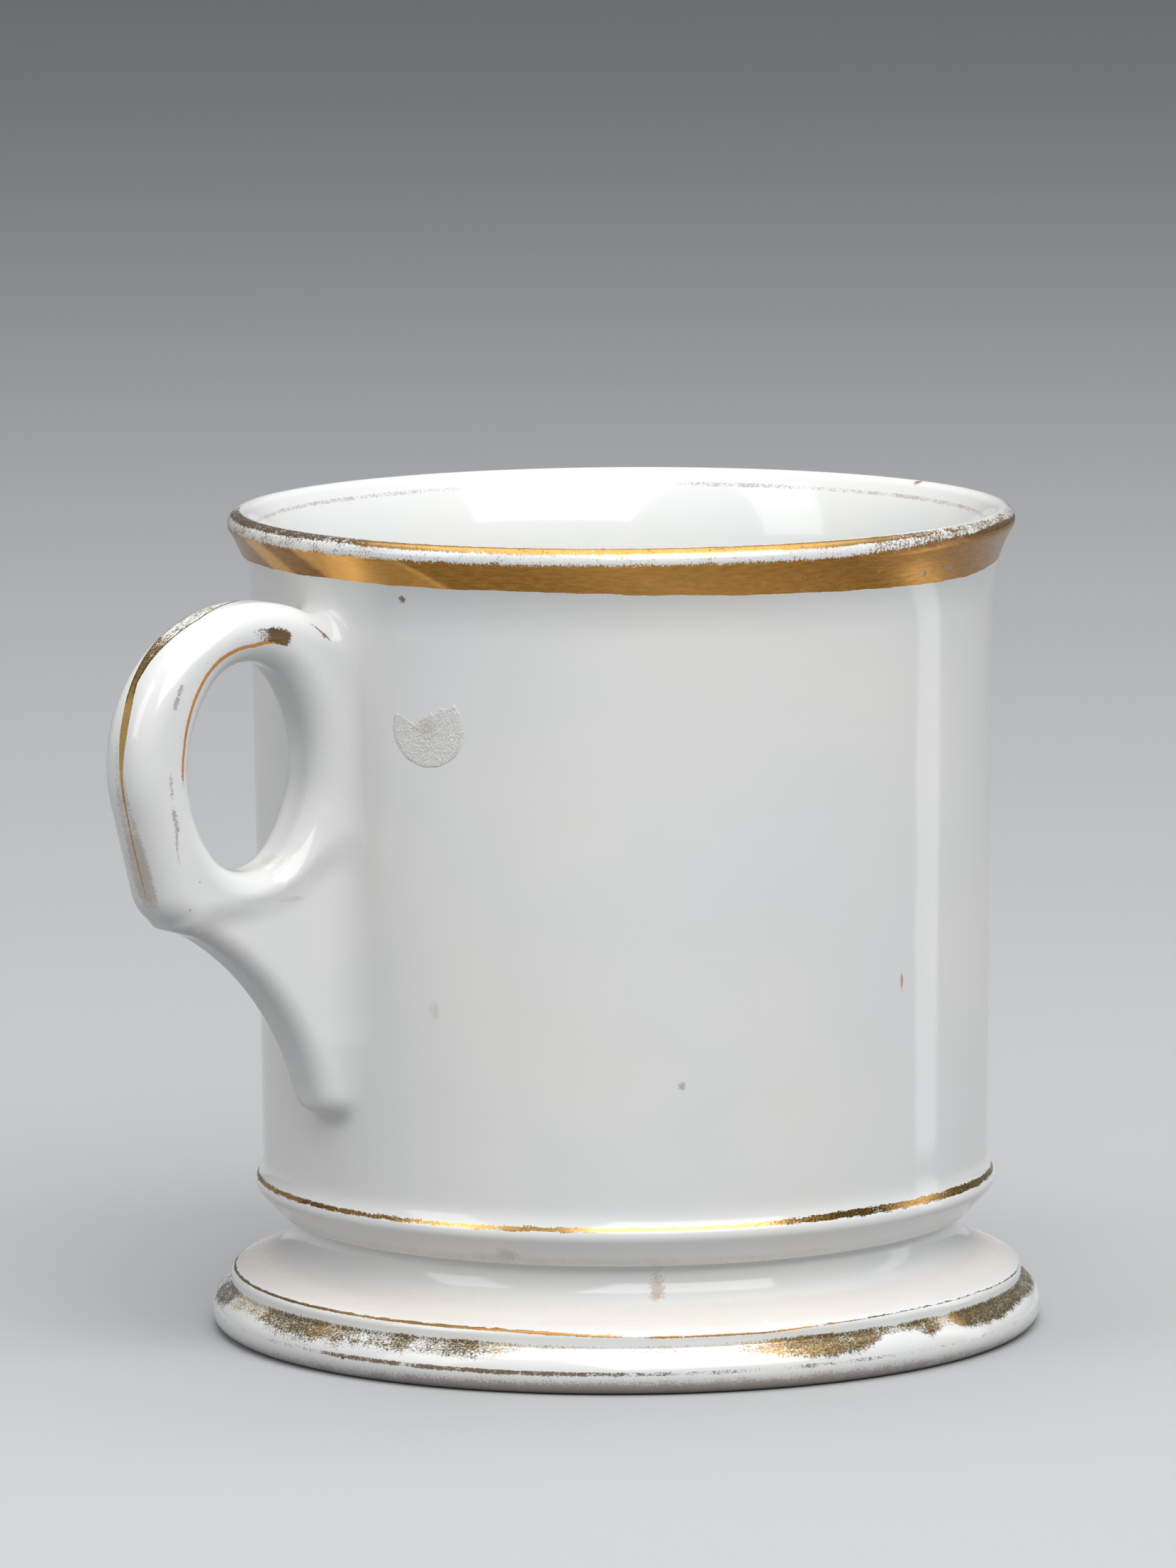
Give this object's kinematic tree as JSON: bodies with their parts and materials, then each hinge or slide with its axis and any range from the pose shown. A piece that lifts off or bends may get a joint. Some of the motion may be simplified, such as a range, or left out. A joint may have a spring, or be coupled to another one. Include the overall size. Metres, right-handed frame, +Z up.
{
  "type": "occupational shaving mug",
  "caption": "Round porcelain mug with a moulded waist, spreading foot and looped side handle, for whipping shaving lather with a brush.",
  "frame": {"origin": "on the mug's axis, in the plane of the foot ring that it stands on", "axes": "+Z up along the mug's axis, handle towards -X, Y across the handle"},
  "size_m": [0.1151, 0.0932, 0.092],
  "materials": {
    "glazed_porcelain": "gloss"
  },
  "bodies": {
    "root": {"mug": "glazed_porcelain"}
  },
  "joints": []
}
